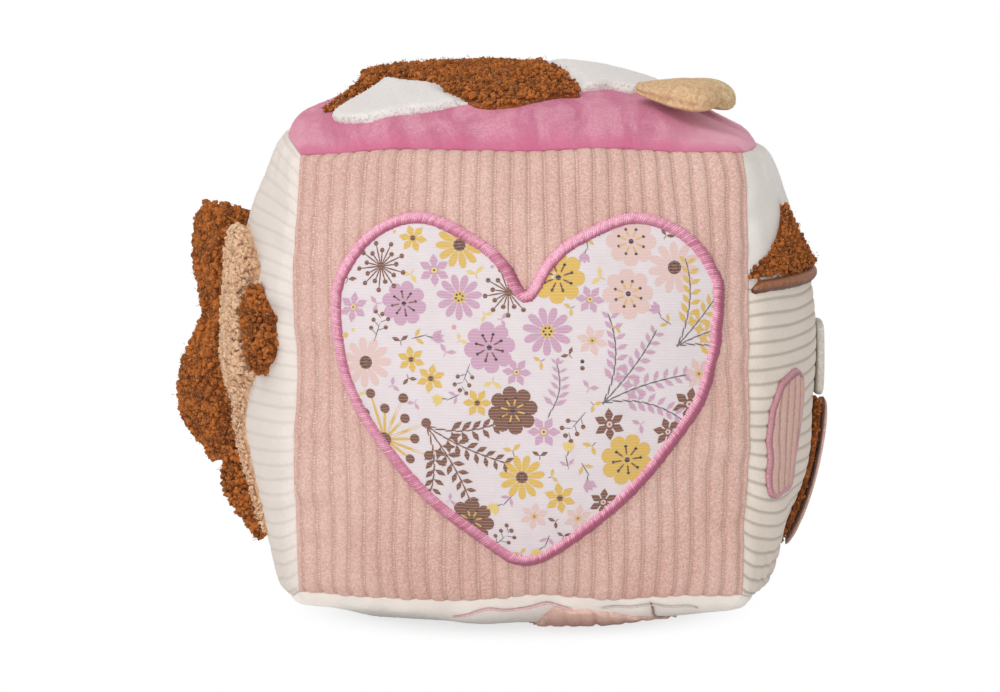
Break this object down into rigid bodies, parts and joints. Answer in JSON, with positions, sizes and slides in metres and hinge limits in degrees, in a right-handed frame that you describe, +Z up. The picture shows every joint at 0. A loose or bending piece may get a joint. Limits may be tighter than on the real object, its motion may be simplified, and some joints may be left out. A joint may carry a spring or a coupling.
{
  "type": "soft fabric block",
  "caption": "Stuffed cube of sewn fabric faces with a padded heart patch, appliqued fleece and corduroy patches, loose ear and mane flaps and a rattle inside.",
  "frame": {"origin": "on the flat of the bottom patch that the block rests on, below the middle of the block", "axes": "+Z up, the face with the heart looks along -Y, +X to the right seen from the front"},
  "size_m": [0.178, 0.1461, 0.1471],
  "materials": {
    "pink_corduroy": "wide-wale cotton corduroy, matt",
    "cream_corduroy": "wide-wale cotton corduroy, matt",
    "rose_velour": "knitted velour with a streaky nap",
    "white_velour": "short-pile velour, matt",
    "cream_velour": "short-pile velour, matt",
    "floral_cotton": "printed cotton, matt",
    "pink_satin": "rayon satin stitch, glossy",
    "white_plush": "short plush, matt",
    "brown_fleece": "curly teddy fleece, matt",
    "champagne_fleece": "curly teddy fleece, matt",
    "tan_plush": "short plush, matt",
    "tan_velour": "short-pile velour, matt",
    "brown_satin": "rayon satin stitch, glossy",
    "rose_satin": "rayon satin stitch, glossy",
    "stitch_thread": "twisted polyester thread",
    "stuffing": "loose polyester fibre",
    "white_plastic": "moulded, matt",
    "bead_plastic": "moulded, glossy"
  },
  "bodies": {
    "block": {"front_panel": "pink_corduroy", "back_panel": "pink_corduroy", "left_panel": "cream_corduroy", "right_panel_lower": "cream_corduroy", "right_panel_upper": "white_velour", "top_panel": "rose_velour", "bottom_panel": "cream_velour", "heart_patch": "floral_cotton", "heart_satin_edge": "pink_satin", "top_head_patch": "white_plush", "top_crest_fleece": "brown_fleece", "top_mane_strip": "brown_fleece", "left_tan_patch": "champagne_fleece", "left_brown_patch": "brown_fleece", "left_mane_tail": "brown_fleece", "right_fleece_patch": "brown_fleece", "right_satin_line": "brown_satin", "right_arch_patch": "pink_corduroy", "right_arch_satin_edge": "rose_satin", "base_patch": "pink_corduroy", "base_stitch_line": "stitch_thread", "stuffing_lower": "stuffing", "stuffing_upper": "stuffing", "rattle_case_lower": "white_plastic", "rattle_case_upper": "white_plastic"},
    "top_ear_front": {"top_ear_front_upper": "tan_plush", "top_ear_front_lower": "tan_plush"},
    "top_ear_back": {"top_ear_back_upper": "tan_plush", "top_ear_back_lower": "tan_plush"},
    "left_mane_upper": {"left_mane_upper_fleece": "brown_fleece", "left_mane_upper_backing": "tan_velour"},
    "left_mane_lower": {"left_mane_lower_fleece": "brown_fleece", "left_mane_lower_backing": "tan_velour"},
    "side_ear": {"side_ear_root": "cream_velour", "side_ear_fleece": "brown_fleece", "side_ear_lining": "pink_corduroy"},
    "beads": {"rattle_bead_1": "bead_plastic", "rattle_bead_2": "bead_plastic", "rattle_bead_3": "bead_plastic", "rattle_bead_4": "bead_plastic", "rattle_bead_5": "bead_plastic"}
  },
  "joints": [
    {"name": "top_ear_front_lift", "type": "hinge", "parent": "block", "child": "top_ear_front", "pos_m": [0.02954, -0.03453, 0.13902], "axis": [-0.369, -0.9133, -0.1726], "range_deg": [0, 110]},
    {"name": "top_ear_back_lift", "type": "hinge", "parent": "block", "child": "top_ear_back", "pos_m": [0.03732, -0.02184, 0.1395], "axis": [-0.052, -0.992, -0.1154], "range_deg": [0, 110]},
    {"name": "left_mane_upper_swing", "type": "hinge", "parent": "block", "child": "left_mane_upper", "pos_m": [-0.07462, -0.0061, 0.09259], "axis": [0.16, 0.0021, 0.9871], "range_deg": [-20, 70]},
    {"name": "left_mane_lower_swing", "type": "hinge", "parent": "block", "child": "left_mane_lower", "pos_m": [-0.07597, -0.00612, 0.05776], "axis": [-0.0568, -0.0004, 0.9984], "range_deg": [-20, 70]},
    {"name": "side_ear_swing", "type": "hinge", "parent": "block", "child": "side_ear", "pos_m": [0.07879, 0.00876, 0.07627], "axis": [0, -1, 0], "range_deg": [0, 110]},
    {"name": "bead_rattle", "type": "slide", "parent": "block", "child": "beads", "axis": [0, 0, 1], "range_m": [0, 0.0165]}
  ]
}
